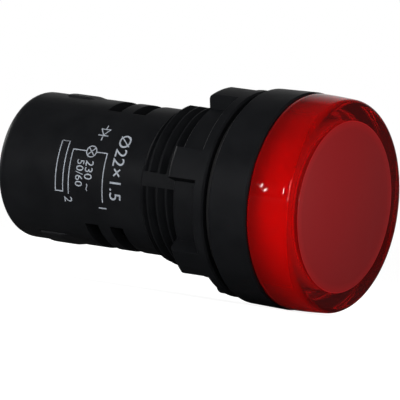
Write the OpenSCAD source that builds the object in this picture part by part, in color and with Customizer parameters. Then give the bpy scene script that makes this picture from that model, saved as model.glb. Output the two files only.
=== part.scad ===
// Panel pilot light for a 22 mm hole.
// The lamp's axis is Y: the lens looks along -Y and the terminals face +Y. Z is up.
// The origin lies on the axis, in the plane of the bezel's back.
// Every piece is drawn along a local Z and turned onto the lamp's axis at the end.

/* [Head] */
// Diameter of the bezel beside the lens
head_d = 29.1; // [27:0.1:36]
// Radial taper of the bezel towards its back
bezel_taper = 0.15; // [0:0.05:0.6]
// Length of the bezel
bezel_len = 6; // [5:0.1:12]
// Radial wall of the bezel round the lens's skirt
bezel_wall = 1.8; // [1.2:0.05:2.5]
// Thickness of the bezel's floor
floor_t = 1.6; // [1:0.1:3]

/* [Lens] */
// Radial step from the bezel down to the lens
lens_step = 0.1; // [0:0.05:0.5]
// Radial draft of the lens towards its front
lens_draft = 0.2; // [0:0.05:0.6]
// Length of the lens in front of the bezel
lens_len = 6.2; // [4:0.1:12]
// Radius of the lens's front edge
lens_round = 0.8; // [0.3:0.1:2]
// Thickness of the lens's front wall
lens_front_t = 1.6; // [1:0.1:3]
// Wall of the skirt that snaps into the bezel
skirt_wall = 1.2; // [0.8:0.1:2]
// Height of the flat window above the lens's rim
window_rise = 0.12; // [0.05:0.01:0.4]

/* [Barrel and body] */
// Outer diameter of the threaded barrel
thread_d = 21.8; // [20.5:0.1:24]
// Depth of the thread
thread_depth = 0.9; // [0.5:0.05:1.2]
// Distance from the bezel's back to the thread's end
thread_end = 12.5; // [11:0.1:20]
// Length of the cone behind the thread
run_out = 1.2; // [0.5:0.1:3]
// Radial step from the thread's crest down to the body
body_step = 1; // [0.9:0.05:1.6]
// Distance from the bezel's back to the body's rear end
body_len = 37.6; // [35:0.1:60]
// Wall of the body
body_wall = 1.35; // [1:0.05:1.8]
// Radius of the body's rear edge
rear_round = 1.8; // [0.4:0.1:2]
// Width of the two keyways along the thread
keyway_w = 2; // [1:0.1:3]
// Depth of the flat along the top of the thread
top_flat = 0.35; // [0.1:0.05:0.8]

/* [Vents and latches] */
// Distance from a latch window to the nearest vent's middle
vent_gap = 4.4; // [2.5:0.1:6]
// Distance between two vents
vent_pitch = 4; // [3:0.1:5]
// Width of a vent
vent_w = 2.1; // [1:0.1:2.6]
// Angle that a vent spans round the body
vent_angle = 77; // [30:1:100]
// Angle by which vents and latches are turned from the vertical
vent_turn = 6; // [0:1:20]
// Distance from the body's rear end to a latch window
latch_inset = 5.2; // [2.5:0.1:6]
// Length of a latch window
latch_len = 5.4; // [3:0.1:6.4]
// Width of a latch window
latch_w = 7; // [4:0.1:9]
// Height of a latch above the body's surface
latch_rise = 0.2; // [0:0.05:0.3]

/* [Gasket and nut] */
// Radial width of the gasket
gasket_w = 2.3; // [1:0.1:3]
// Thickness of the gasket
gasket_t = 1.2; // [0.8:0.05:3]
// Thickness of the whole nut
nut_t = 6.1; // [4:0.1:8]
// Thickness of the nut's flange
flange_t = 1.7; // [0.8:0.1:3]
// Wall of the nut between its lugs
nut_wall = 1; // [0.8:0.05:2]
// Radial height of the lugs and the flange
lug_h = 2; // [1:0.1:3]
// Width of a lug
lug_w = 4.2; // [3:0.1:8]
// Angle of the first lug above the horizontal
lug_turn = 11.5; // [0:0.5:59]

/* [Circuit boards] */
// Thickness of both circuit boards
board_t = 1.2; // [0.8:0.1:1.6]
// Distance of the driver board's face below the axis
board_drop = 3; // [2:0.1:4]
// Distance from the light chamber's wall to the ring of light-emitting diodes
led_margin = 4.9; // [3.5:0.1:6]
// Radius of one light-emitting diode
led_r = 1.5; // [1:0.1:2.5]
// Height of one light-emitting diode
led_h = 5.3; // [3:0.1:6]

/* [Terminals] */
// Thickness of the terminal block in front of its blind holes
block_front_t = 1.3; // [1:0.1:3]
// Distance from the body's rear end to the block's rear face
block_inset = 0.5; // [0:0.1:1]
// Depth of the terminal pockets
pocket_depth = 7.8; // [6.8:0.1:9.5]
// Distance from the axis to a terminal screw
terminal_x = 3.9; // [3.6:0.1:4.2]
// Radius of a terminal screw's shank
screw_r = 1.5; // [1:0.05:1.6]
// Length of a terminal screw's shank
shank_len = 5.2; // [4.8:0.1:6.5]
// Thickness of the terminal plates and clamp washers
plate_t = 0.8; // [0.5:0.1:1]

/* [Clearances] */
// Clearance of pieces that slide or turn on one another
run_clear = 0.06; // [0.02:0.01:0.1]
// Clearance of pieces that are pushed together once
fit_clear = 0.1; // [0.05:0.01:0.2]
// Gap round a piece that only has to pass
free_gap = 0.3; // [0.1:0.05:0.5]

/* [Hidden] */
$fn = 96;
eps = 0.01;
led_count = 6;
lug_count = 6;
lug_round = 0.8;
small_edge = 0.25;
lens_edge = 0.4;

head_r = head_d / 2;
head_back_r = head_r - bezel_taper;
thread_r = thread_d / 2;
body_r = thread_r - body_step;
bore_r = body_r - body_wall;
lens_bore_r = head_back_r - bezel_wall;
lens_r = head_r - lens_step;
lens_front_r = lens_r - lens_draft;
skirt_r = lens_bore_r - fit_clear;
cavity_r = skirt_r - skirt_wall;
window_r = cavity_r + 0.2;
lens_front = -(bezel_len + lens_len);

led_board_front = -(floor_t + board_t);
skirt_end = led_board_front - 0.6;
bead_z = (skirt_end - bezel_len) / 2;
bead_h = 0.25;
bead_w = 1.2;

nut_z = gasket_t;
nut_core_r = thread_r + nut_wall;
lug_r = nut_core_r + lug_h;

board_back = board_drop + board_t;

block_rear = body_len - block_inset;
pocket_floor = block_rear - pocket_depth;
hole_end = pocket_floor + 2 * plate_t - shank_len - free_gap;
block_front = hole_end - block_front_t;
block_r = bore_r - fit_clear;
block_wall = 1;
pocket_r = block_r - block_wall;
pocket_half_h = board_back + plate_t + fit_clear;
divider = 1.4;
latch_z1 = body_len - latch_inset;
latch_z0 = latch_z1 - latch_len;
vent_land = 1;
vent_room = latch_z0 - vent_gap - vent_w / 2 - thread_end - run_out - vent_land;
vent_rows = floor(vent_room / vent_pitch) + 1;
latch_ramp = 0.35;
latch_ramp_len = 2;
tongue_t = 1;
tongue_gap = 0.8;
tongue_slit = 0.6;
board_socket = 1.2;

led_ring_r = cavity_r - led_margin;
driver_half_w = sqrt(bore_r * bore_r - board_back * board_back) - 0.25;
driver_front = -floor_t;
driver_rear = block_front + board_socket - fit_clear;
rail_t = 0.8;
rail_reach = 0.7;
parts_r = bore_r - 2 * free_gap;
parts_x = driver_half_w - 1.2;
column_gap = 0.6;
resistor_r = 1.15;
rear_parts_len = 6.2;
rear_parts_end = block_front - 1;
rear_parts_z = rear_parts_end - rear_parts_len;
front_parts_z = driver_front + 4.4;
front_parts_end = rear_parts_z - 4.5;
header_w = 5;
header_h = 2.6;
header_len = 2.5;
header_pitch = 2.54;
pin_w = 0.6;

screw_head_r = 2.6;
screw_head_h = 2;
recess_w = 0.8;
recess_depth = 1.1;
recess_reach = 1.6;
washer_w = 5.4;
washer_h = 5.6;
leg_w = 2.4;
leg_reach = 2;

// Turns local Z onto the lamp's axis; local -Y then points up.
module on_axis() rotate([-90, 0, 0]) children();

// A ring from radius r0 to r1 between two heights.
module ring(r0, r1, z0, z1) {
    rotate_extrude()
        translate([r0, z0]) square([r1 - r0, z1 - z0]);
}

// A box given by its lowest and highest corners.
module box(low, high) {
    translate(low) cube(high - low);
}

// A wedge of the given full angle about the X axis, from the axis outwards.
module wedge(angle, reach, z0, z1) {
    half = angle / 2;
    far = reach / cos(half);
    translate([0, 0, z0]) linear_extrude(z1 - z0)
        polygon([[0, 0], [far * cos(half), -far * sin(half)], [far * cos(half), far * sin(half)]]);
}

// Repeats its children on the upper and the lower side, turned as the vents are.
module both_sides() {
    for (side = [-90, 90]) rotate([0, 0, side + vent_turn]) children();
}

// Section of the bezel, open to the front for the lens.
module bezel_section() {
    polygon([
        [bore_r, 0], [head_back_r - small_edge, 0], [head_back_r, -small_edge],
        [head_r, -bezel_len + small_edge], [head_r - small_edge, -bezel_len],
        [lens_bore_r, -bezel_len], [lens_bore_r, -floor_t], [bore_r, -floor_t]
    ]);
}

// Section of the barrel and the cone behind it.
module barrel_section() {
    polygon([
        [bore_r, -eps], [thread_r, -eps], [thread_r, thread_end],
        [body_r, thread_end + run_out], [bore_r, thread_end + run_out]
    ]);
}

// Section of the body's wall with its rounded rear edge.
module body_section() {
    intersection() {
        translate([bore_r, 0]) square([body_wall, body_len]);
        union() {
            square([body_r, body_len - rear_round]);
            square([body_r - rear_round, body_len]);
            translate([body_r - rear_round, body_len - rear_round]) circle(rear_round);
        }
    }
}

// Two rails on each side of the bore hold the driver board's edges.
module board_rails() {
    rail_x = driver_half_w - rail_reach;
    intersection() {
        cylinder(r = bore_r + eps, h = block_front - 1);
        for (side = [0, 1]) mirror([side, 0, 0]) {
            box([rail_x, board_drop - fit_clear - rail_t, 0], [body_r, board_drop - fit_clear, body_len]);
            box([rail_x, board_back + fit_clear, 0], [body_r, board_back + fit_clear + rail_t, body_len]);
        }
    }
}

// Rows of vents from the latch windows towards the thread, as many as the body has room for.
module vents() {
    for (row = [0 : 1 : vent_rows - 1]) {
        z = latch_z0 - vent_gap - row * vent_pitch;
        both_sides() intersection() {
            wedge(vent_angle, body_r + 1, z - vent_w / 2, z + vent_w / 2);
            ring(bore_r - rail_t, body_r + 1, z - vent_w, z + vent_w);
        }
    }
}

module latch_windows() {
    both_sides() box([bore_r / 2, -latch_w / 2, latch_z0], [body_r + 1, latch_w / 2, latch_z1]);
}

// Two keyways at the barrel's sides and a flat on its top.
module thread_cuts() {
    key_bottom = thread_r - thread_depth;
    for (side = [0, 180]) rotate([0, 0, side])
        box([key_bottom, -keyway_w / 2, 0], [thread_r + 1, keyway_w / 2, thread_end + run_out + 1]);
    box([-thread_r, -thread_r - 1, 0], [thread_r, -thread_r + top_flat, thread_end + run_out]);
}

module housing() {
    color("#17181a") on_axis() {
        difference() {
            union() {
                rotate_extrude() {
                    bezel_section();
                    barrel_section();
                    body_section();
                }
                board_rails();
            }
            ring(lens_bore_r - eps, lens_bore_r + bead_h, bead_z - bead_w / 2, bead_z + bead_w / 2);
            vents();
            latch_windows();
            thread_cuts();
        }
    }
}

// Section of the lens: rim with a rounded edge, raised window and skirt.
module lens_section() {
    rim_front = lens_front + window_rise;
    round_z = rim_front + lens_round;
    difference() {
        union() {
            translate([0, lens_front]) square([window_r, lens_front_t]);
            translate([0, rim_front]) square([lens_front_r - lens_round, lens_round + eps]);
            translate([lens_front_r - lens_round, round_z]) circle(lens_round);
            polygon([
                [0, round_z], [lens_front_r, round_z], [lens_r, -bezel_len - lens_edge],
                [lens_r - lens_edge, -bezel_len], [0, -bezel_len]
            ]);
            translate([0, -bezel_len - eps]) square([skirt_r, skirt_end + bezel_len + eps]);
            polygon([
                [skirt_r - eps, bead_z - bead_w / 2], [skirt_r + bead_h, bead_z],
                [skirt_r - eps, bead_z + bead_w / 2]
            ]);
        }
        translate([0, lens_front + lens_front_t]) square([cavity_r, skirt_end - lens_front]);
    }
}

module lens_cap() {
    color("#c8100c") on_axis() rotate_extrude() lens_section();
}

// White cup behind the lens that spreads the light.
module diffuser() {
    front = lens_front + lens_front_t + 0.2;
    wall = 0.8;
    outer = cavity_r - 0.2;
    color("#e8e4dc") on_axis() rotate_extrude() {
        translate([0, front]) square([outer, wall]);
        translate([outer - wall, front]) square([wall, led_board_front - front]);
    }
}

module gasket() {
    inner = thread_r + fit_clear;
    outer = inner + gasket_w - fit_clear;
    color("#101112") on_axis() rotate_extrude() polygon([
        [inner, 0], [outer - small_edge, 0], [outer, small_edge],
        [outer, gasket_t - small_edge], [outer - small_edge, gasket_t], [inner, gasket_t]
    ]);
}

// Envelope of the lugs: their rear outer edge is rounded.
module lug_envelope() {
    rotate_extrude() {
        translate([0, nut_z]) square([lug_r, nut_t - lug_round]);
        translate([0, nut_z]) square([lug_r - lug_round, nut_t]);
        translate([lug_r - lug_round, nut_z + nut_t - lug_round]) circle(lug_round);
    }
}

// The nut's flange and its core, with small chamfers.
module nut_core() {
    flange_end = nut_z + flange_t;
    nut_end = nut_z + nut_t;
    rotate_extrude() polygon([
        [0, nut_z], [lug_r - small_edge, nut_z], [lug_r, nut_z + small_edge],
        [lug_r, flange_end - small_edge], [lug_r - small_edge, flange_end],
        [nut_core_r, flange_end], [nut_core_r, nut_end - small_edge],
        [nut_core_r - small_edge, nut_end], [0, nut_end]
    ]);
}

module panel_nut() {
    color("#17181a") on_axis() difference() {
        union() {
            nut_core();
            intersection() {
                lug_envelope();
                for (k = [0 : lug_count - 1]) rotate([0, 0, 180 + lug_turn + k * 360 / lug_count])
                    box([0, -lug_w / 2, nut_z + flange_t / 2], [2 * lug_r, lug_w / 2, nut_z + nut_t + 1]);
            }
        }
        translate([0, 0, nut_z - 1]) cylinder(r = thread_r + run_clear, h = nut_t + 2);
        nut_lead_in();
    }
}

// Chamfer of the nut's bore at its rear face.
module nut_lead_in() {
    r = thread_r + run_clear;
    lead = 0.4;
    rotate_extrude() polygon([
        [0, nut_z + nut_t - lead], [r, nut_z + nut_t - lead], [r + lead, nut_z + nut_t],
        [r + lead, nut_z + nut_t + 1], [0, nut_z + nut_t + 1]
    ]);
}

// Plan of the two terminal pockets, one on each side of the divider.
module pocket_plan() {
    intersection() {
        circle(pocket_r);
        for (side = [0, 1]) mirror([side, 0])
            translate([divider / 2, -pocket_half_h]) square([pocket_r, 2 * pocket_half_h]);
    }
}

// Free space behind a latch tongue and the two slits beside it.
module tongue_cuts() {
    tongue_r = block_r - tongue_t;
    gap_x = tongue_r - tongue_gap;
    half = latch_w / 2;
    translate([0, 0, block_front - 1]) linear_extrude(latch_z1 - block_front + 2) {
        intersection() {
            circle(tongue_r);
            translate([gap_x, -half - tongue_slit]) square([tongue_r, latch_w + 2 * tongue_slit]);
        }
        for (side = [0, 1]) mirror([0, side])
            translate([gap_x, half]) square([block_r, tongue_slit]);
    }
}

// A latch rises from its leading end and catches behind its window.
module latch() {
    z0 = latch_z0 + fit_clear;
    z1 = latch_z1 - fit_clear;
    half = latch_w / 2 - fit_clear;
    top_r = body_r + latch_rise;
    intersection() {
        rotate_extrude() polygon([
            [block_r - tongue_t / 2, z0], [top_r - latch_ramp, z0], [top_r, z0 + latch_ramp_len],
            [top_r, z1], [block_r - tongue_t / 2, z1]
        ]);
        box([0, -half, z0 - 1], [body_r + 1, half, z1 + 1]);
    }
}

// Two pockets, two latches, a blind hole and a leg slot for each terminal, and the board's socket.
module terminal_block() {
    color("#1b1c1e") on_axis() difference() {
        union() {
            translate([0, 0, block_front]) cylinder(r = block_r, h = block_rear - block_front);
            both_sides() latch();
        }
        translate([0, 0, pocket_floor]) linear_extrude(pocket_depth + 1) pocket_plan();
        both_sides() tongue_cuts();
        for (side = [0, 1]) mirror([side, 0, 0]) {
            translate([terminal_x, 0, hole_end]) cylinder(r = screw_r + 0.2, h = pocket_depth);
            box([terminal_x - leg_w / 2 - fit_clear, board_back - fit_clear, block_front - 1],
                [terminal_x + leg_w / 2 + fit_clear, board_back + plate_t + fit_clear, pocket_floor + 1]);
        }
        box([-block_r - 1, board_drop - fit_clear, block_front - 1],
            [block_r + 1, board_back + fit_clear, block_front + board_socket]);
    }
}

module led_board() {
    header_y = board_drop - header_h / 2;
    color("#1f6b3a") on_axis() difference() {
        translate([0, 0, led_board_front]) cylinder(r = lens_bore_r - free_gap, h = board_t);
        for (side = [-0.5, 0.5]) translate([side * header_pitch, header_y, led_board_front - 1])
            cylinder(r = pin_w, h = board_t + 2);
    }
}

// One light-emitting diode: collar, cylinder and dome.
module led(k) {
    color("#d84038") on_axis() rotate([0, 0, k * 360 / led_count])
        translate([led_ring_r, 0, led_board_front]) mirror([0, 0, 1]) {
            cylinder(r = led_r + 0.3, h = 0.8);
            cylinder(r = led_r, h = led_h - led_r);
            translate([0, 0, led_h - led_r]) sphere(led_r);
        }
}

module driver_board() {
    color("#1f6b3a") on_axis()
        box([-driver_half_w, board_drop, driver_front], [driver_half_w, board_back, driver_rear]);
}

// Pin header that joins the driver board to the board of diodes.
module board_header() {
    header_y = board_drop - header_h / 2;
    color("#222222") on_axis() {
        box([-header_w / 2, board_drop - header_h, driver_front],
            [header_w / 2, board_drop, driver_front + header_len]);
        for (side = [-0.5, 0.5]) translate([side * header_pitch, header_y, led_board_front - 0.8])
            translate([-pin_w / 2, -pin_w / 2, 0]) cube([pin_w, pin_w, board_t + 1]);
    }
}

// Box-shaped film capacitor that drops the mains voltage.
module dropper_capacitor() {
    top = sqrt(parts_r * parts_r - parts_x * parts_x);
    color("#c9b037") on_axis()
        box([-parts_x, -top, front_parts_z], [-column_gap, board_drop, front_parts_end]);
}

// Electrolytic can that lies along the board.
module smoothing_capacitor() {
    inner_x = 1.5 * column_gap;
    can_r = (parts_x - inner_x) / 2;
    can_len = front_parts_end - front_parts_z - 1;
    groove = 0.2;
    groove_end = can_len - 1.1;
    color("#20304f") on_axis() translate([inner_x + can_r, board_drop - can_r, front_parts_z]) difference() {
        cylinder(r = can_r, h = can_len);
        ring(can_r - groove, can_r + 1, groove_end - 0.5, groove_end);
    }
}

module rectifier() {
    height = 3.2;
    color("#26272a") on_axis() box([column_gap, board_drop - height, rear_parts_z],
        [parts_x, board_drop, rear_parts_end]);
}

// Axial resistor with its two bent leads.
module resistor(x, shade) {
    lead_r = 0.3;
    lead_out = 0.5;
    waist = resistor_r - 0.2;
    end_len = 1.2;
    body = rear_parts_end - rear_parts_z - 2 * (lead_out + lead_r);
    color(shade) on_axis() translate([x, board_drop - resistor_r, rear_parts_z + lead_out + lead_r]) {
        cylinder(r = waist, h = body);
        cylinder(r = resistor_r, h = end_len);
        translate([0, 0, body - end_len]) cylinder(r = resistor_r, h = end_len);
        translate([0, 0, -lead_out]) cylinder(r = lead_r, h = body + 2 * lead_out);
        for (z = [-lead_out, body + lead_out]) translate([0, 0, z]) {
            sphere(lead_r);
            rotate([-90, 0, 0]) cylinder(r = lead_r, h = resistor_r);
        }
    }
}

module inrush_resistor() resistor(-column_gap - resistor_r, "#b08a5a");

module bleed_resistor() resistor(resistor_r - parts_x, "#8fb4c8");

// Brass plate under a screw, with a leg that reaches the driver board.
module terminal_plate(side) {
    x0 = terminal_x - washer_w / 2;
    x1 = terminal_x + washer_w / 2;
    color("#c9a24b") on_axis() mirror([side, 0, 0]) difference() {
        union() {
            box([x0, -washer_h / 2, pocket_floor], [x1, washer_h / 2, pocket_floor + plate_t]);
            box([terminal_x - leg_w / 2, 0, pocket_floor],
                [terminal_x + leg_w / 2, board_back + plate_t, pocket_floor + plate_t]);
            box([terminal_x - leg_w / 2, board_back, block_front - leg_reach],
                [terminal_x + leg_w / 2, board_back + plate_t, pocket_floor + plate_t]);
        }
        translate([terminal_x, 0, pocket_floor - 1]) cylinder(r = screw_r + run_clear, h = 3);
    }
}

// Square washer that clamps the wire under the screw's head.
module clamp_washer(side) {
    z0 = pocket_floor + plate_t;
    color("#b9bcc0") on_axis() mirror([side, 0, 0]) difference() {
        box([terminal_x - washer_w / 2, -washer_h / 2, z0],
            [terminal_x + washer_w / 2, washer_h / 2, z0 + plate_t]);
        translate([terminal_x, 0, z0 - 1]) cylinder(r = screw_r + run_clear, h = 3);
    }
}

// Pan-head screw with a cross recess.
module terminal_screw(side) {
    seat = pocket_floor + 2 * plate_t;
    edge = 0.6;
    color("#c4c7ca") on_axis() mirror([side, 0, 0]) translate([terminal_x, 0, seat]) difference() {
        union() {
            translate([0, 0, -shank_len]) cylinder(r = screw_r, h = shank_len + eps);
            rotate_extrude() {
                square([screw_head_r, screw_head_h - edge]);
                square([screw_head_r - edge, screw_head_h]);
                translate([screw_head_r - edge, screw_head_h - edge]) circle(edge);
            }
        }
        for (turn = [0, 90]) rotate([0, 0, turn + 20])
            box([-recess_reach, -recess_w / 2, screw_head_h - recess_depth],
                [recess_reach, recess_w / 2, screw_head_h + 1]);
    }
}

module terminal_plate_a() terminal_plate(0);
module terminal_plate_b() terminal_plate(1);
module clamp_washer_a() clamp_washer(0);
module clamp_washer_b() clamp_washer(1);
module terminal_screw_a() terminal_screw(0);
module terminal_screw_b() terminal_screw(1);

housing();
lens_cap();
diffuser();
gasket();
panel_nut();
terminal_block();
led_board();
led(0);  // led_1
led(1);  // led_2
led(2);  // led_3
led(3);  // led_4
led(4);  // led_5
led(5);  // led_6
driver_board();
board_header();
dropper_capacitor();
smoothing_capacitor();
rectifier();
inrush_resistor();
bleed_resistor();
terminal_plate_a();
terminal_plate_b();
clamp_washer_a();
clamp_washer_b();
terminal_screw_a();
terminal_screw_b();
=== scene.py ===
import math

import bmesh
import bpy
from mathutils import Matrix, Vector


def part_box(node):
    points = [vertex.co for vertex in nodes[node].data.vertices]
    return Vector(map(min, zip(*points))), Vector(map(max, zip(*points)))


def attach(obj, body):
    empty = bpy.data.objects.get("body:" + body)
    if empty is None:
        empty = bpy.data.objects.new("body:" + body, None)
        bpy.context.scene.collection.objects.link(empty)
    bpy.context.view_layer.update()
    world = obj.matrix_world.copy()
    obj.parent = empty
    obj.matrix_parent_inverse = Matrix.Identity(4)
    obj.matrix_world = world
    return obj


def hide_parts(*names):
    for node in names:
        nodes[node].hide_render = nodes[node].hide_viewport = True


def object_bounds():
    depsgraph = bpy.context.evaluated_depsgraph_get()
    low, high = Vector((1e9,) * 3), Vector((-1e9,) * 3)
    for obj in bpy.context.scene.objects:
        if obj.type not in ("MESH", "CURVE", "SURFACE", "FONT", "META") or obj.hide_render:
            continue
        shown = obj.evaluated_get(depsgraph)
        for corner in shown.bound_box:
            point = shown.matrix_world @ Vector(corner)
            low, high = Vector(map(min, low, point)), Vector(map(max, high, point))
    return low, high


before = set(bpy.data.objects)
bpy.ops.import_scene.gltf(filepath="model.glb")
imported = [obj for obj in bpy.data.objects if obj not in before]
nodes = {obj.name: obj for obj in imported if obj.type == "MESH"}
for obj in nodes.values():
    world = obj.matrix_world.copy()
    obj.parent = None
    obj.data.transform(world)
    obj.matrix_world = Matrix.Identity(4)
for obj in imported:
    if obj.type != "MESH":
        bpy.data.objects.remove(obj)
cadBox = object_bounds()
mm = 0.001
mergeDistance = 0.0005 * mm


def stageDone(words):
    print("pilot light:", words)


# Nodes that every material is put together from

def startMaterial(name, base, roughness, metallic=0.0, ior=1.5, specular=0.5):
    mat = bpy.data.materials.new(name)
    mat.use_nodes = True
    tree = mat.node_tree
    shader = tree.nodes["Principled BSDF"]
    shader.inputs["Base Color"].default_value = (*base, 1.0)
    shader.inputs["Roughness"].default_value = roughness
    shader.inputs["Metallic"].default_value = metallic
    shader.inputs["IOR"].default_value = ior
    shader.inputs["Specular IOR Level"].default_value = specular
    mat.diffuse_color = (*base, 1.0)
    return mat, tree, shader


def objectPlace(tree, scale=(1, 1, 1)):
    coords = tree.nodes.new("ShaderNodeTexCoord")
    mapping = tree.nodes.new("ShaderNodeMapping")
    mapping.inputs["Scale"].default_value = scale
    tree.links.new(coords.outputs["Object"], mapping.inputs["Vector"])
    return mapping.outputs["Vector"]


def addNoise(tree, place, scale, detail=3.0):
    noise = tree.nodes.new("ShaderNodeTexNoise")
    noise.inputs["Scale"].default_value = scale
    noise.inputs["Detail"].default_value = detail
    noise.inputs["Roughness"].default_value = 0.55
    tree.links.new(place, noise.inputs["Vector"])
    return noise.outputs["Fac"]


def spread(tree, value, low, high, fromLow=0.3, fromHigh=0.7):
    # a noise's middle part, or the range given, stretched from low to high
    ranger = tree.nodes.new("ShaderNodeMapRange")
    ranger.inputs["From Min"].default_value = fromLow
    ranger.inputs["From Max"].default_value = fromHigh
    ranger.inputs["To Min"].default_value = low
    ranger.inputs["To Max"].default_value = high
    tree.links.new(value, ranger.inputs["Value"])
    return ranger.outputs["Result"]


def blendColours(tree, factor, low, high):
    mix = tree.nodes.new("ShaderNodeMix")
    mix.data_type = "RGBA"
    for socket, colour in (("A", low), ("B", high)):
        spot = [s for s in mix.inputs if s.name == socket and s.type == "RGBA"][0]
        if isinstance(colour, tuple):
            spot.default_value = (*colour, 1.0)
        else:
            tree.links.new(colour, spot)
    tree.links.new(factor, mix.inputs["Factor"])
    return [s for s in mix.outputs if s.type == "RGBA"][0]


def addBump(tree, shader, height, strength, distance, edge=None):
    bump = tree.nodes.new("ShaderNodeBump")
    bump.inputs["Strength"].default_value = strength
    bump.inputs["Distance"].default_value = distance
    tree.links.new(height, bump.inputs["Height"])
    if edge:
        softEdge = tree.nodes.new("ShaderNodeBevel")
        softEdge.samples = 4
        softEdge.inputs["Radius"].default_value = edge
        tree.links.new(softEdge.outputs["Normal"], bump.inputs["Normal"])
    tree.links.new(bump.outputs["Normal"], shader.inputs["Normal"])


def calc(tree, operation, a, b=None, c=None):
    node = tree.nodes.new("ShaderNodeMath")
    node.operation = operation
    for socket, value in zip(node.inputs, (a, b, c)):
        if value is None:
            continue
        if isinstance(value, (int, float)):
            socket.default_value = value
        else:
            tree.links.new(value, socket)
    return node.outputs[0]


def opposite(tree, value):
    return calc(tree, "SUBTRACT", 1.0, value)


def onBand(tree, value, centre, half):
    return calc(tree, "COMPARE", value, centre, half)


def shaderOf(mat):
    return mat.node_tree, mat.node_tree.nodes["Principled BSDF"]


def splitPlace(tree):
    split = tree.nodes.new("ShaderNodeSeparateXYZ")
    tree.links.new(objectPlace(tree), split.inputs[0])
    return split.outputs


def paintOver(tree, shader, mask, colour):
    # lays a colour over whatever already feeds the base colour
    link = shader.inputs["Base Color"].links[0]
    under = link.from_socket
    tree.links.remove(link)
    tree.links.new(blendColours(tree, mask, under, colour), shader.inputs["Base Color"])


def cloudedColour(tree, shader, cloud, base, lighter):
    colour = blendColours(tree, spread(tree, cloud, 0, 1), base, lighter)
    tree.links.new(colour, shader.inputs["Base Color"])


def cloudedRough(tree, shader, cloud, low, high):
    tree.links.new(spread(tree, cloud, low, high), shader.inputs["Roughness"])


# Moulded black plastic: satin, finely grained, with softened edges
blackLook = {
    "base": (0.0047, 0.005, 0.0058), "lighter": (0.0069, 0.0073, 0.0083), "specular": 0.13,
    "roughLow": 0.36, "roughHigh": 0.48, "cloud": 260.0,
    "grain": 5200.0, "grainStrength": 0.5, "grainDepth": 0.000006, "softEdge": 0.00014,
}


def blackPlastic(name, look):
    mat, tree, shader = startMaterial(name, look["base"], look["roughLow"],
                                      specular=look["specular"])
    place = objectPlace(tree)
    cloud = addNoise(tree, place, look["cloud"])
    grain = addNoise(tree, place, look["grain"], 2.0)
    cloudedColour(tree, shader, cloud, look["base"], look["lighter"])
    cloudedRough(tree, shader, cloud, look["roughLow"], look["roughHigh"])
    addBump(tree, shader, grain, look["grainStrength"], look["grainDepth"], look["softEdge"])
    return mat


housingBlack = blackPlastic("housing_black", blackLook)
nutBlack = blackPlastic("nut_black", dict(blackLook, roughLow=0.38, roughHigh=0.52))
blockBlack = blackPlastic("block_black", dict(blackLook, base=(0.011, 0.011, 0.012)))

# Small parts: base colour, lighter colour, lowest and highest roughness
plasticGrain = {"cloud": 420.0, "grain": 3000.0, "grainStrength": 0.4, "grainDepth": 0.000004}
plasticLooks = {
    "gasket_rubber": ((0.006, 0.006, 0.0065), (0.009, 0.009, 0.0095), 0.6, 0.78),
    "diffuser_white": ((0.82, 0.8, 0.78), (0.88, 0.87, 0.85), 0.5, 0.62),
    "board_green": ((0.012, 0.11, 0.04), (0.02, 0.16, 0.06), 0.3, 0.42),
    "led_red": ((0.55, 0.03, 0.02), (0.7, 0.06, 0.04), 0.08, 0.16),
    "film_yellow": ((0.55, 0.38, 0.05), (0.62, 0.45, 0.08), 0.35, 0.45),
    "sleeve_blue": ((0.015, 0.03, 0.12), (0.02, 0.045, 0.16), 0.2, 0.3),
    "chip_black": ((0.016, 0.016, 0.017), (0.024, 0.024, 0.025), 0.4, 0.55),
    "resistor_tan": ((0.45, 0.27, 0.12), (0.52, 0.33, 0.17), 0.25, 0.35),
    "resistor_blue": ((0.16, 0.35, 0.5), (0.22, 0.43, 0.58), 0.25, 0.35),
}


def simplePlastic(name, base, lighter, roughLow, roughHigh):
    mat, tree, shader = startMaterial(name, base, roughLow)
    place = objectPlace(tree)
    cloud = addNoise(tree, place, plasticGrain["cloud"])
    cloudedColour(tree, shader, cloud, base, lighter)
    cloudedRough(tree, shader, cloud, roughLow, roughHigh)
    grain = addNoise(tree, place, plasticGrain["grain"], 2.0)
    addBump(tree, shader, grain, plasticGrain["grainStrength"], plasticGrain["grainDepth"])
    return mat


ledClearness = 0.5
plastics = {name: simplePlastic(name, *look) for name, look in plasticLooks.items()}

# Metals: base colour, second tint, lowest and highest roughness, stretch of the streaks
metalGrain = {"streak": 1500.0, "detail": 4.0, "strength": 0.3, "depth": 0.000004}
metalLooks = {
    "brass_plate": ((0.72, 0.5, 0.18), (0.6, 0.4, 0.13), 0.22, 0.38, (1, 4, 1)),
    "zinc_steel": ((0.62, 0.64, 0.66), (0.5, 0.52, 0.55), 0.2, 0.36, (1, 1, 1)),
}


def metalLook(name, base, tint, roughLow, roughHigh, stretch):
    mat, tree, shader = startMaterial(name, base, roughLow, metallic=1.0)
    streak = addNoise(tree, objectPlace(tree, stretch), metalGrain["streak"], metalGrain["detail"])
    cloudedColour(tree, shader, streak, base, tint)
    cloudedRough(tree, shader, streak, roughLow, roughHigh)
    addBump(tree, shader, streak, metalGrain["strength"], metalGrain["depth"])
    return mat


metals = {name: metalLook(name, *look) for name, look in metalLooks.items()}
zincSteel = metals["zinc_steel"]

# Resistors: four colour bands on the body, bare tinned leads at its ends
resistorLook = {
    "endGap": 1.5, "bandHalf": 0.17, "leadLength": 0.78, "lead": (0.6, 0.61, 0.62),
    "bands": {
        "inrush_resistor": [(0.55, 0.24, 0.02), (0.012, 0.012, 0.012),
                            (0.25, 0.11, 0.03), (0.62, 0.45, 0.12)],
        "bleed_resistor": [(0.5, 0.02, 0.02), (0.5, 0.02, 0.02),
                           (0.6, 0.5, 0.05), (0.25, 0.11, 0.03)],
    },
}


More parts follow.
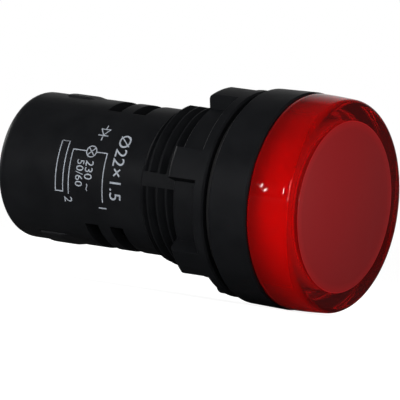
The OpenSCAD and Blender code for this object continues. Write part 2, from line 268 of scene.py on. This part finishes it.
def bandedResistor(node, mat, look):
    tree, shader = shaderOf(mat)
    low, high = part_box(node)
    along = splitPlace(tree)["Y"]
    first, last = low.y + look["endGap"] * mm, high.y - look["endGap"] * mm
    bands = look["bands"][node]
    for k, colour in enumerate(bands):
        centre = first + (last - first) * k / (len(bands) - 1)
        paintOver(tree, shader, onBand(tree, along, centre, look["bandHalf"] * mm), colour)
    inBody = onBand(tree, along, (low.y + high.y) / 2,
                    (high.y - low.y) / 2 - look["leadLength"] * mm)
    onLead = opposite(tree, inBody)
    paintOver(tree, shader, onLead, look["lead"])
    tree.links.new(onLead, shader.inputs["Metallic"])


# Boards: copper fields under the mask, parted by narrow gaps
boardLook = {"fields": 330.0, "gapWidth": 0.05, "gap": (0.006, 0.055, 0.022)}


def copperBoard(mat, look):
    tree, shader = shaderOf(mat)
    cells = tree.nodes.new("ShaderNodeTexVoronoi")
    cells.feature = "DISTANCE_TO_EDGE"
    cells.inputs["Scale"].default_value = look["fields"]
    tree.links.new(objectPlace(tree), cells.inputs["Vector"])
    gap = calc(tree, "LESS_THAN", cells.outputs["Distance"], look["gapWidth"])
    paintOver(tree, shader, gap, look["gap"])


# Smoothing capacitor: a pale stripe along the sleeve, bare metal at both ends
canLook = {
    "stripeFrom": 0.62, "stripe": (0.55, 0.56, 0.58), "bareEnd": 0.03, "can": (0.62, 0.63, 0.64),
}


def stripedCan(mat, look):
    tree, shader = shaderOf(mat)
    low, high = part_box("smoothing_capacitor")
    axes = splitPlace(tree)
    stripeEdge = (low.x + high.x) / 2 + look["stripeFrom"] * (high.x - low.x) / 2
    paintOver(tree, shader, calc(tree, "GREATER_THAN", axes["X"], stripeEdge), look["stripe"])
    inSleeve = onBand(tree, axes["Y"], (low.y + high.y) / 2,
                      (high.y - low.y) / 2 - look["bareEnd"] * mm)
    atEnd = opposite(tree, inSleeve)
    paintOver(tree, shader, atEnd, look["can"])
    tree.links.new(atEnd, shader.inputs["Metallic"])


bandedResistor("inrush_resistor", plastics["resistor_tan"], resistorLook)
bandedResistor("bleed_resistor", plastics["resistor_blue"], resistorLook)
copperBoard(plastics["board_green"], boardLook)
stripedCan(plastics["sleeve_blue"], canLook)
shaderOf(plastics["led_red"])[1].inputs["Transmission Weight"].default_value = ledClearness
stageDone("plain materials")

# Clear red lens: radii and depths in mm, depths counted from the lens's front
lensLook = {
    # the side's second red is painted shade, darker towards the bezel
    "side": (0.97, 0.004, 0.003), "bezelShade": (0.78, 0.002, 0.002), "rim": (0.95, 0.003, 0.004),
    "window": (0.24, 0.005, 0.0065), "ior": 1.49, "specular": 0.3,
    "clearRough": 0.05, "frostRough": 0.55, "insideRough": 0.8,
    "clearness": 0.95, "windowClearness": 0.05, "edgeFrost": 0.85,
    "windowRadius": 11.5, "windowInner": 11.35, "windowOuter": 11.55, "frostStart": 10.3,
    "rimRadius": 13.75, "rimSoft": 0.5, "frontDepth": 0.5,
    "insideRadius": 11.6, "insideDepth": 0.9,
    # the first three values on the next line place the painted shade along the side and set how
    # strong it is
    "bezelShadeFrom": 1.0, "bezelShadeTo": 6.0, "bezelShadeShare": 0.5, "cloudShare": 0.25, "cloud": 140.0,
    "frost": 3600.0, "frostStrength": 0.35, "frostDepth": 0.00001,
}


def lensRed(name, look, front):
    mat, tree, shader = startMaterial(name, look["side"], look["clearRough"], ior=look["ior"],
                                      specular=look["specular"])
    place = objectPlace(tree)
    axes = splitPlace(tree)
    across = calc(tree, "MULTIPLY", axes["X"], axes["X"])
    upright = calc(tree, "MULTIPLY", axes["Z"], axes["Z"])
    radius = calc(tree, "SQRT", calc(tree, "ADD", across, upright))

    # the flat window, and the rim around it
    atFront = calc(tree, "LESS_THAN", axes["Y"], front + look["frontDepth"] * mm)
    onWindow = spread(tree, radius, 1.0, 0.0, look["windowInner"] * mm, look["windowOuter"] * mm)
    onWindow = calc(tree, "MULTIPLY", onWindow, atFront)
    onRim = spread(tree, radius, 1.0, 0.0,
                   (look["rimRadius"] - look["rimSoft"]) * mm, look["rimRadius"] * mm)
    onRim = calc(tree, "MULTIPLY", onRim, atFront)

    # the frost thins out towards the window's edge
    frosted = spread(tree, radius, 1.0, look["edgeFrost"],
                     look["frostStart"] * mm, look["windowRadius"] * mm)
    frosted = calc(tree, "MULTIPLY", frosted, onWindow)

    # painted shade: the red is painted darker along the side towards the bezel, and a random
    # cloudy tone is added
    cloud = addNoise(tree, place, look["cloud"], 2.0)
    bezelShadeAndTone = spread(tree, axes["Y"], 0.0, look["bezelShadeShare"],
                       front + look["bezelShadeFrom"] * mm, front + look["bezelShadeTo"] * mm)
    bezelShadeAndTone = calc(tree, "ADD", bezelShadeAndTone, spread(tree, cloud, 0, look["cloudShare"]))
    sideColour = blendColours(tree, bezelShadeAndTone, look["side"], look["bezelShade"])
    clearColour = blendColours(tree, onRim, sideColour, look["rim"])
    tree.links.new(blendColours(tree, frosted, clearColour, look["window"]),
                   shader.inputs["Base Color"])

    # the inner walls are left rough by the mould
    behindFront = calc(tree, "GREATER_THAN", axes["Y"], front + look["insideDepth"] * mm)
    withinWalls = calc(tree, "LESS_THAN", radius, look["insideRadius"] * mm)
    onInside = calc(tree, "MULTIPLY", withinWalls, behindFront)
    rough = spread(tree, onInside, look["clearRough"], look["insideRough"], 0, 1)
    windowRough = calc(tree, "MULTIPLY", onWindow, look["frostRough"])
    tree.links.new(calc(tree, "MAXIMUM", rough, windowRough), shader.inputs["Roughness"])
    tree.links.new(spread(tree, frosted, look["clearness"], look["windowClearness"], 0, 1),
                   shader.inputs["Transmission Weight"])
    frost = addNoise(tree, place, look["frost"], 2.0)
    addBump(tree, shader, calc(tree, "MULTIPLY", frost, onWindow),
            look["frostStrength"], look["frostDepth"])
    return mat


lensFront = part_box("lens_cap")[0].y
lensMaterial = lensRed("lens_red", lensLook, lensFront)
stageDone("lens material")


# Tools that every new piece is made with

def linked(name, data):
    thing = bpy.data.objects.new(name, data)
    bpy.context.scene.collection.objects.link(thing)
    return thing


def meshFrom(bm, name):
    mesh = bpy.data.meshes.new(name)
    bm.to_mesh(mesh)
    bm.free()
    return mesh


def discard(thing):
    mesh = thing.data
    bpy.data.objects.remove(thing)
    bpy.data.meshes.remove(mesh)


def evaluatedMesh(thing):
    bpy.context.view_layer.update()
    graph = bpy.context.evaluated_depsgraph_get()
    return bpy.data.meshes.new_from_object(thing.evaluated_get(graph))


def finishShape(bm, name, material, body, sharpAngle=35.0):
    bmesh.ops.remove_doubles(bm, verts=bm.verts, dist=mergeDistance)
    bmesh.ops.recalc_face_normals(bm, faces=bm.faces)
    limit = math.radians(sharpAngle)
    for face in bm.faces:
        face.smooth = True
    for edge in bm.edges:
        if len(edge.link_faces) == 2 and edge.calc_face_angle(0.0) > limit:
            edge.smooth = False
    piece = linked(name, meshFrom(bm, name))
    piece.data.materials.append(material)
    if body:
        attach(piece, body)
    return piece


# Lens: radii, and distances along the lamp's axis, in mm
lensSize = {
    "windowRadius": 11.5, "windowRise": 0.12, "windowEdge": 0.06,
    "frontRadius": 14.25, "edgeRound": 0.8, "sideRadius": 14.45, "sideBulge": 0.05,
    "bezelLine": -6.0, "backEdge": 0.4,
    "skirtRadius": 12.5, "skirtInside": 11.3, "skirtEnd": -3.4,
    "beadMiddle": -4.7, "beadHalf": 0.6, "beadHeight": 0.25,
    "frontThickness": 1.6, "hollowRound": 0.3, "hollowSteps": 4,
    "roundSteps": 8, "sideSteps": 10, "steps": 180, "sharpAngle": 50.0,
}


def lathe(profile, steps):
    # an open profile that starts and ends on the lamp's axis
    bm = bmesh.new()
    ring = [bm.verts.new((radius * mm, along * mm, 0)) for radius, along in profile]
    for here, following in zip(ring, ring[1:]):
        bm.edges.new((here, following))
    bmesh.ops.spin(bm, geom=list(bm.verts) + list(bm.edges), cent=(0, 0, 0), axis=(0, 1, 0),
                   angle=2 * math.pi, steps=steps, use_merge=True)
    return bm


def quarterRound(centre, radius, steps):
    # from the frontmost point of a round edge to its outermost
    turns = [math.radians(-90.0 + 90.0 * k / steps) for k in range(steps + 1)]
    return [(centre[0] + radius * math.cos(t), centre[1] + radius * math.sin(t)) for t in turns]


def makeLens(size, front, material):
    rim = front + size["windowRise"]
    edge = size["edgeRound"]
    outline = [
        (0, front), (size["windowRadius"] - size["windowEdge"], front),
        (size["windowRadius"], front + size["windowEdge"]), (size["windowRadius"], rim),
    ]
    outline += quarterRound((size["frontRadius"] - edge, rim + edge), edge, size["roundSteps"])
    sideFront, sideBack = rim + edge, size["bezelLine"] - size["backEdge"]
    for k in range(1, size["sideSteps"] + 1):
        share = k / size["sideSteps"]
        bulge = size["sideBulge"] * 4 * share * (1 - share)
        widening = (size["sideRadius"] - size["frontRadius"]) * share
        outline.append((size["frontRadius"] + widening + bulge,
                        sideFront + (sideBack - sideFront) * share))
    outline += [
        (size["sideRadius"] - size["backEdge"], size["bezelLine"]),
        (size["skirtRadius"], size["bezelLine"]),
        (size["skirtRadius"], size["beadMiddle"] - size["beadHalf"]),
        (size["skirtRadius"] + size["beadHeight"], size["beadMiddle"]),
        (size["skirtRadius"], size["beadMiddle"] + size["beadHalf"]),
        (size["skirtRadius"], size["skirtEnd"]), (size["skirtInside"], size["skirtEnd"]),
    ]
    inside = front + size["frontThickness"]
    corner = size["hollowRound"]
    hollow = quarterRound((size["skirtInside"] - corner, inside + corner), corner,
                          size["hollowSteps"])
    outline += hollow[::-1] + [(0, inside)]
    lens = finishShape(lathe(outline, size["steps"]), "clear_lens", material,
                       "lamp", size["sharpAngle"])
    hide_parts("lens_cap")


makeLens(lensSize, lensFront / mm, lensMaterial)
stageDone("lens")

# Threads: one start, right-handed, with flats at crest and root, in mm
threadSize = {
    "crestRadius": 10.9, "rootRadius": 10.03, "pitch": 1.5, "crestFlat": 0.22, "rootFlat": 0.2,
    "start": 1.9, "turns": 8.6, "stepsPerTurn": 60, "startAngle": 100.0, "beyond": 0.5,
}
screwThreadSize = {
    "crestRadius": 1.5, "rootRadius": 1.2, "pitch": 0.5, "crestFlat": 0.08, "rootFlat": 0.06,
    "start": 25.2, "turns": 9.4, "stepsPerTurn": 24, "startAngle": 0.0, "beyond": 0.2,
}
threadFlare = 0.05  # how far the groove goes on widening past the crest
threadSharp = 28.0


def threadGroove(size, offset):
    bm = bmesh.new()
    halfRoot = size["rootFlat"] / 2
    halfCrest = (size["pitch"] - size["crestFlat"]) / 2
    slope = (halfCrest - halfRoot) / (size["crestRadius"] - size["rootRadius"])
    halfOuter = halfCrest + threadFlare * slope
    outer = size["crestRadius"] + size["beyond"]
    outline = [
        (size["rootRadius"], -halfRoot), (size["rootRadius"], halfRoot),
        (size["crestRadius"], halfCrest), (outer, halfOuter),
        (outer, -halfOuter), (size["crestRadius"], -halfCrest),
    ]
    face = bm.faces.new([bm.verts.new((r * mm, (size["start"] + y) * mm, 0)) for r, y in outline])
    bmesh.ops.rotate(bm, verts=bm.verts, cent=(0, 0, 0),
                     matrix=Matrix.Rotation(math.radians(size["startAngle"]), 3, "Y"))
    steps = int(size["turns"] * size["stepsPerTurn"])
    bmesh.ops.spin(bm, geom=[face] + list(face.edges) + list(face.verts), cent=(0, 0, 0),
                   axis=(0, 1, 0), dvec=(0, size["pitch"] / size["stepsPerTurn"] * mm, 0),
                   angle=2 * math.pi * steps / size["stepsPerTurn"], steps=steps)
    bmesh.ops.translate(bm, vec=(offset, 0, 0), verts=bm.verts)
    bmesh.ops.recalc_face_normals(bm, faces=bm.faces)
    return bm


def cutAway(piece, cutter):
    # what is left of the piece; both objects are used up
    boolean = piece.modifiers.new("shape", "BOOLEAN")
    boolean.operation = "DIFFERENCE"
    boolean.solver = "EXACT"
    boolean.object = cutter
    mesh = evaluatedMesh(piece)
    cut = bmesh.new()
    cut.from_mesh(mesh)
    bpy.data.meshes.remove(mesh)
    discard(piece)
    discard(cutter)
    return cut


def threadedCopy(node, name, size, offset, material, body):
    plain = bmesh.new()
    plain.from_mesh(nodes[node].data)
    bmesh.ops.remove_doubles(plain, verts=plain.verts, dist=mergeDistance)
    plainCopy = finishShape(plain, name, material, body)
    groove = linked("groove", meshFrom(threadGroove(size, offset), "groove"))
    threaded = finishShape(cutAway(plainCopy, groove), name, material, body,
                           threadSharp)
    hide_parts(node)


threadedCopy("housing", "threaded_housing", threadSize, 0.0, housingBlack,
             "lamp")
for side in ("a", "b"):
    screwLow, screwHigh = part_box("terminal_screw_" + side)
    threadedCopy("terminal_screw_" + side, "threaded_screw_" + side, screwThreadSize,
                 (screwLow.x + screwHigh.x) / 2, zincSteel, "screw_" + side)
stageDone("threads of the housing and the screws")

nodeLooks = {
    "diffuser": plastics["diffuser_white"],
    "gasket": plastics["gasket_rubber"],
    "panel_nut": nutBlack,
    "terminal_block": blockBlack,
    "led_board": plastics["board_green"],
    "driver_board": plastics["board_green"],
    "board_header": plastics["chip_black"],
    "rectifier": plastics["chip_black"],
    "dropper_capacitor": plastics["film_yellow"],
    "smoothing_capacitor": plastics["sleeve_blue"],
    "inrush_resistor": plastics["resistor_tan"],
    "bleed_resistor": plastics["resistor_blue"],
}
for side in ("a", "b"):
    nodeLooks["terminal_plate_" + side] = metals["brass_plate"]
    nodeLooks["clamp_washer_" + side] = zincSteel
for count in range(1, 7):
    nodeLooks["led_%d" % count] = plastics["led_red"]
for name, material in nodeLooks.items():
    part = nodes[name]
    part.data.materials.clear()
    part.data.materials.append(material)
stageDone("materials on the kept parts")

# Print on the body's side. Places are an angle above the side, in degrees, and a distance
# from the bezel, in mm
printLook = {
    "radius": 9.912, "thickness": 0.014, "stripWidth": 0.4, "line": 0.14,
    "ink": (0.2, 0.216, 0.24), "inkLight": (0.3, 0.325, 0.36), "patch": 1800.0,
    "roughLow": 0.5, "roughHigh": 0.68, "specular": 0.2, "capHeight": 0.73, "curveSteps": 4,
    "lampAt": (15.0, 22.45), "ring": 0.78, "ringSteps": 28,
}
# Each word: text, height, angle and distance of its start
printWords = [
    ("\u00d822\u00d71.5", 1.9, 33.0, 18.7), ("230 ~", 1.3, 8.0, 22.9), ("50/60", 1.2, 8.0, 24.3),
    ("1", 1.3, -26.0, 20.6), ("2", 1.3, -22.5, 26.1),
]
# Each line: start and end
printLines = [
    # the lamp's two wires
    ((15.0, 21.7), (15.0, 19.9)), ((15.0, 19.9), (-23.5, 19.9)),
    ((15.0, 23.2), (15.0, 25.4)), ((15.0, 25.4), (-20.0, 25.4)),
    # the empty field
    ((21.0, 26.3), (-19.0, 26.3)), ((21.0, 27.5), (-19.0, 27.5)),
    ((21.0, 26.3), (21.0, 27.5)), ((-19.0, 26.3), (-19.0, 27.5)),
    # the diode
    ((39.0, 21.6), (35.5, 21.6)), ((35.5, 20.9), (35.5, 22.3)),
    ((35.5, 20.9), (30.0, 21.6)), ((35.5, 22.3), (30.0, 21.6)),
    ((29.6, 20.85), (29.6, 22.35)), ((29.6, 21.6), (25.5, 21.6)),
]


def inkWhite(name, look):
    mat, tree, shader = startMaterial(name, look["ink"], look["roughLow"],
                                      specular=look["specular"])
    patch = addNoise(tree, objectPlace(tree), look["patch"], 3.0)
    cloudedColour(tree, shader, patch, look["ink"], look["inkLight"])
    cloudedRough(tree, shader, patch, look["roughLow"], look["roughHigh"])
    return mat


def flatWord(words, height, look):
    curve = bpy.data.curves.new("word", "FONT")
    curve.body = words
    curve.size = height / look["capHeight"]
    curve.resolution_u = look["curveSteps"]
    wordObject = linked("word", curve)
    mesh = evaluatedMesh(wordObject)
    bpy.data.objects.remove(wordObject)
    bpy.data.curves.remove(curve)
    return mesh


def flatLine(bm, start, end, width):
    run = Vector(end) - Vector(start)
    turn = Matrix.Rotation(math.atan2(run.y, run.x), 3, "Z")
    made = bmesh.ops.create_grid(bm, x_segments=1, y_segments=1, size=0.5)["verts"]
    bmesh.ops.scale(bm, vec=(run.length + width, width, 1), verts=made)
    bmesh.ops.rotate(bm, verts=made, cent=(0, 0, 0), matrix=turn)
    middle = (Vector(start) + Vector(end)) / 2
    bmesh.ops.translate(bm, vec=(middle.x, middle.y, 0), verts=made)


def flatRing(bm, centre, look):
    edges = []
    for side in (-0.5, 0.5):
        radius = look["ring"] + side * look["line"]
        made = bmesh.ops.create_circle(bm, cap_ends=False, radius=radius,
                                       segments=look["ringSteps"])["verts"]
        bmesh.ops.translate(bm, vec=(centre[0], centre[1], 0), verts=made)
        edges += list({edge for vert in made for edge in vert.link_edges})
    bmesh.ops.bridge_loops(bm, edges=edges)


def wrapRound(bm, look):
    # cut into narrow strips along the words, then bend round the body
    span = [vert.co.x for vert in bm.verts]
    cut = min(span) + look["stripWidth"]
    while cut < max(span):
        everything = list(bm.verts) + list(bm.edges) + list(bm.faces)
        bmesh.ops.bisect_plane(bm, geom=everything, plane_co=(cut, 0, 0), plane_no=(1, 0, 0),
                               dist=0.0001)
        cut += look["stripWidth"]
    bmesh.ops.recalc_face_normals(bm, faces=bm.faces)
    if sum(face.normal.z for face in bm.faces) < 0:
        bmesh.ops.reverse_faces(bm, faces=bm.faces)
    bmesh.ops.solidify(bm, geom=list(bm.faces), thickness=look["thickness"])
    for vert in bm.verts:
        reach = (look["radius"] + vert.co.z) * mm
        angle = -vert.co.x / look["radius"]
        vert.co = Vector((-reach * math.cos(angle), -vert.co.y * mm, reach * math.sin(angle)))


def flatPlace(look, angle, along):
    return (-math.radians(angle) * look["radius"], -along)


def makePrint(look):
    bm = bmesh.new()
    for words, height, angle, along in printWords:
        mesh = flatWord(words, height, look)
        before = set(bm.verts)
        bm.from_mesh(mesh)
        bpy.data.meshes.remove(mesh)
        fresh = [vert for vert in bm.verts if vert not in before]
        x, y = flatPlace(look, angle, along)
        bmesh.ops.translate(bm, vec=(x, y, 0), verts=fresh)
    for start, end in printLines:
        flatLine(bm, flatPlace(look, *start), flatPlace(look, *end), look["line"])
    # the lamp's sign is a crossed ring
    x, y = flatPlace(look, *look["lampAt"])
    flatRing(bm, (x, y), look)
    arm = look["ring"] * math.sqrt(0.5)
    for lean in (-arm, arm):
        flatLine(bm, (x - arm, y - lean), (x + arm, y + lean), look["line"])
    wrapRound(bm, look)
    finishShape(bm, "printed_circuit", inkWhite("ink_white", look), "lamp")


makePrint(printLook)
stageDone("printed circuit")

# Camera: degrees and mm, with nearest and furthest in metres; shownAt is where its target
# appears in a view 400 wide and high
cameraSet = {
    "azimuth": -56.996, "roll": 8.196, "distance": 924.73, "focal": 6916.26,
    "target": (0, 11.0, 0), "shownAt": (198.854, 186.274), "view": 400, "sensor": 36,
    "nearest": 0.01, "furthest": 20,
}


def placeCamera(size):
    turn, roll = math.radians(size["azimuth"]), math.radians(size["roll"])
    back = Vector((math.sin(turn), -math.cos(turn), 0))
    level = Vector((math.cos(turn), math.sin(turn), 0))
    upright = back.cross(level)
    right = math.cos(roll) * level + math.sin(roll) * upright
    up = -math.sin(roll) * level + math.cos(roll) * upright
    scale = size["distance"] / size["focal"]
    centre = size["view"] / 2
    eye = Vector(size["target"]) + back * size["distance"]
    eye += right * (centre - size["shownAt"][0]) * scale
    eye -= up * (centre - size["shownAt"][1]) * scale
    camera = linked("camera", bpy.data.cameras.new("camera"))
    camera.data.sensor_width = size["sensor"]
    camera.data.lens = size["focal"] * size["sensor"] / size["view"]
    camera.data.clip_start = size["nearest"]
    camera.data.clip_end = size["furthest"]
    facing = Matrix((right, up, back)).transposed().to_4x4()
    camera.matrix_world = Matrix.Translation(eye * mm) @ facing
    bpy.context.scene.camera = camera


placeCamera(cameraSet)
stageDone("camera")

# Floor sizes in mm; floorNear and floorFar are distances from the middle of the floor
studioSet = {
    "floorGap": 0.05, "floorRadius": 4000.0, "floorSteps": 96,
    "floorGlow": 0.88, "floorShade": (0.3, 0.3, 0.3),
    "floorBounce": (0.8, 0.8, 0.8), "floorGloss": (0.07, 0.07, 0.07),
    # the next line sets a painted shadow on the floor round the body, seen through the lens: how
    # far it stays full, where it fades out, and how dark it is
    "floorNear": 16.0, "floorFar": 62.0, "paintedShadowDim": 0.15,
    "background": 1.0, "fill": 0.36, "horizon": 2.95, "sky": 0.0, "skyFrom": 0.22,
    "room": 0.05, "backdropShine": 0.6,
    "backdropSide": (0.839, 0.545, 0.0), "backdropEdge": (0.7, 1.0),
}


def paleFloor(look, height):
    mat = bpy.data.materials.new("floor_white")
    mat.use_nodes = True
    tree = mat.node_tree
    tree.nodes.clear()
    out = tree.nodes.new("ShaderNodeOutputMaterial")
    paint = tree.nodes.new("ShaderNodeBsdfDiffuse")
    glow = tree.nodes.new("ShaderNodeEmission")
    path = tree.nodes.new("ShaderNodeLightPath").outputs
    # nearly black in gloss, mid grey under its own glow when looked at, pale for bounced light
    paintColour = blendColours(tree, path["Is Glossy Ray"], look["floorBounce"],
                               look["floorGloss"])
    paintColour = blendColours(tree, path["Is Camera Ray"], paintColour, look["floorShade"])
    tree.links.new(paintColour, paint.inputs["Color"])
    # through the lens it is about as bright as the horizon, with a painted shadow that dims it
    # close to the body
    place = tree.nodes.new("ShaderNodeTexCoord")
    away = tree.nodes.new("ShaderNodeVectorMath")
    away.operation = "LENGTH"
    tree.links.new(place.outputs["Object"], away.inputs[0])
    paintedShadowFade = spread(tree, away.outputs["Value"], look["paintedShadowDim"], 1.0,
                  look["floorNear"] * mm, look["floorFar"] * mm)
    glowThrough = calc(tree, "MULTIPLY", paintedShadowFade, look["horizon"] - look["floorBounce"][0])
    through = calc(tree, "MULTIPLY", path["Is Transmission Ray"], glowThrough)
    direct = calc(tree, "MULTIPLY", path["Is Camera Ray"], look["floorGlow"])
    tree.links.new(calc(tree, "MAXIMUM", through, direct), glow.inputs["Strength"])
    both = tree.nodes.new("ShaderNodeAddShader")
    tree.links.new(paint.outputs[0], both.inputs[0])
    tree.links.new(glow.outputs[0], both.inputs[1])
    tree.links.new(both.outputs[0], out.inputs["Surface"])
    bm = bmesh.new()
    bmesh.ops.create_circle(bm, cap_ends=True, radius=look["floorRadius"] * mm,
                            segments=look["floorSteps"])
    bmesh.ops.translate(bm, vec=(0, 0, height), verts=bm.verts)
    finishShape(bm, "floor", mat, None)


def studioWorld(look):
    world = bpy.data.worlds.new("studio")
    world.use_nodes = True
    bpy.context.scene.world = world
    tree = world.node_tree
    plain = tree.nodes["Background"]
    plain.inputs["Color"].default_value = (1, 1, 1, 1)
    coords = tree.nodes.new("ShaderNodeTexCoord")
    path = tree.nodes.new("ShaderNodeLightPath").outputs

    # shiny surfaces see a backdrop on the far side and a dim room elsewhere
    towards = tree.nodes.new("ShaderNodeVectorMath")
    towards.operation = "DOT_PRODUCT"
    tree.links.new(coords.outputs["Generated"], towards.inputs[0])
    towards.inputs[1].default_value = look["backdropSide"]
    onBackdrop = spread(tree, towards.outputs["Value"], look["room"], look["backdropShine"],
                        *look["backdropEdge"])

    # through the lens the world is bright at the horizon and dark above
    height = tree.nodes.new("ShaderNodeSeparateXYZ")
    tree.links.new(coords.outputs["Generated"], height.inputs[0])
    sky = spread(tree, height.outputs["Z"], look["horizon"], look["sky"], 0.0, look["skyFrom"])

    # white where it is looked at, and a low fill for everything else
    straight = calc(tree, "MAXIMUM", path["Is Camera Ray"], path["Is Transmission Ray"])
    onlyThrough = calc(tree, "MULTIPLY", straight, opposite(tree, path["Is Camera Ray"]))
    direct = calc(tree, "MULTIPLY", path["Is Camera Ray"], look["background"])
    direct = calc(tree, "ADD", direct, calc(tree, "MULTIPLY", onlyThrough, sky))
    strength = calc(tree, "MAXIMUM", direct, look["fill"])
    shiny = calc(tree, "MULTIPLY", path["Is Glossy Ray"], opposite(tree, straight))
    mix = calc(tree, "ADD", calc(tree, "MULTIPLY", shiny, onBackdrop),
               calc(tree, "MULTIPLY", opposite(tree, shiny), strength))
    tree.links.new(mix, plain.inputs["Strength"])


# Lamps: place counted from the middle of the object's box, width and height, in metres.
# inGloss and throughLens say whether shiny surfaces and the lens show them
lamps = {
    "side_lamp": {"from": (-0.45, 0.15, 0.03), "size": (0.6, 0.08), "watts": 1.6,
                  "inGloss": False, "throughLens": False},
    "front_lamp": {"from": (-0.3, -0.45, 0.1), "size": (0.5, 0.5), "watts": 2.0,
                   "inGloss": False, "throughLens": False},
    "top_lamp": {"from": (-0.1, 0.0, 0.5), "size": (0.5, 0.5), "watts": 0.5,
                 "inGloss": False, "throughLens": False},
    "rear_lamp": {"from": (0.3, 0.45, 0.2), "size": (0.5, 0.5), "watts": 1.3,
                  "inGloss": False, "throughLens": True},
    "terminal_lamp": {"from": (0.08, 0.5, 0.1), "size": (0.16, 0.16), "watts": 0.3,
                      "inGloss": True, "throughLens": True},
    "front_spark": {"from": (-0.06, -0.5, 0.04), "size": (0.04, 0.1), "watts": 0.22,
                    "inGloss": True, "throughLens": True},
    "edge_spark": {"from": (-0.487, 0.11, 0.06), "size": (0.05, 0.05), "watts": 0.32,
                   "inGloss": True, "throughLens": True},
    "upper_spark": {"from": (-0.437, 0.2215, 0.075), "size": (0.003, 0.03), "watts": 0.009,
                    "inGloss": True, "throughLens": True},
    "lower_spark": {"from": (-0.443, 0.2105, 0.045), "size": (0.003, 0.03), "watts": 0.009,
                    "inGloss": True, "throughLens": True},
}


def softLamp(name, look, aim):
    data = bpy.data.lights.new(name, "AREA")
    data.shape = "RECTANGLE"
    data.size, data.size_y = look["size"]
    data.energy = look["watts"]
    lamp = linked(name, data)
    lamp.location = aim + Vector(look["from"])
    lamp.rotation_euler = (-Vector(look["from"])).to_track_quat("-Z", "Y").to_euler()
    lamp.visible_glossy = look["inGloss"]
    lamp.visible_transmission = look["throughLens"]


middle = (cadBox[0] + cadBox[1]) / 2
paleFloor(studioSet, cadBox[0].z - studioSet["floorGap"] * mm)
studioWorld(studioSet)
for name, look in lamps.items():
    softLamp(name, look, middle)
bpy.context.scene.view_settings.view_transform = "Standard"
stageDone("floor, lamps and background")
